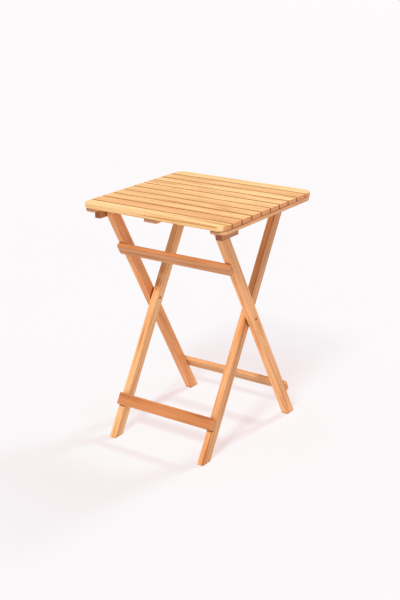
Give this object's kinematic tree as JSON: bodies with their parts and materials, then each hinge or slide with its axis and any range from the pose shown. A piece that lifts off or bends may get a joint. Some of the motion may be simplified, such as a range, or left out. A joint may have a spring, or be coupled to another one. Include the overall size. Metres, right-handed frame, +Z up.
{
  "type": "folding side table",
  "caption": "Small wooden side table with a slatted top on two crossed leg frames that fold together like scissors.",
  "frame": {"origin": "on the floor under the middle of the top, with the table standing open", "axes": "+X along the slats, -Y towards the front where the top is hinged, +Z up"},
  "size_m": [0.4, 0.406, 0.6],
  "materials": {
    "slat_wood": "clear-lacquered beech, light honey, grain along each slat",
    "batten_wood": "oiled beech, a little redder and duller than the slats",
    "frame_wood": "clear-lacquered beech, warm honey, grain along each bar",
    "dowel_wood": "plain beech dowel, unfinished",
    "screw_steel": "zinc-plated countersunk wood screws",
    "pivot_steel": "dark bronzed steel with a dull sheen"
  },
  "bodies": {
    "outer_frame": {"outer_leg_left": "frame_wood", "outer_leg_right": "frame_wood", "outer_upper_rail": "frame_wood", "outer_lower_rail": "frame_wood", "outer_rail_dowels": "dowel_wood", "scissor_bolts": "pivot_steel", "scissor_nuts": "pivot_steel", "scissor_washers": "pivot_steel", "top_pivot_washers": "pivot_steel"},
    "inner_frame": {"inner_leg_left": "frame_wood", "inner_leg_right": "frame_wood", "inner_lower_rail": "frame_wood", "inner_top_bar": "frame_wood", "inner_rail_dowels": "dowel_wood"},
    "table_top": {"slat_01": "slat_wood", "slat_02": "slat_wood", "slat_03": "slat_wood", "slat_04": "slat_wood", "slat_05": "slat_wood", "slat_06": "slat_wood", "slat_07": "slat_wood", "slat_08": "slat_wood", "slat_09": "slat_wood", "slat_10": "slat_wood", "batten_left": "batten_wood", "batten_middle": "batten_wood", "batten_right": "batten_wood", "pivot_block_left": "batten_wood", "pivot_block_right": "batten_wood", "stop_block": "batten_wood", "slat_screws": "screw_steel", "pivot_block_screws": "screw_steel", "stop_block_screws": "screw_steel", "top_pivot_screws": "pivot_steel"}
  },
  "joints": [
    {"name": "leg_fold", "type": "hinge", "parent": "outer_frame", "child": "inner_frame", "pos_m": [0, 0.0035, 0.317], "axis": [1, 0, 0], "range_deg": [0, 59.5]},
    {"name": "top_hinge", "type": "hinge", "parent": "outer_frame", "child": "table_top", "pos_m": [0, -0.14199, 0.569], "axis": [1, 0, 0], "range_deg": [0, 29.75]}
  ],
  "couplings": [
    {"joint": "top_hinge", "follows": "leg_fold", "ratio": 0.5}
  ]
}
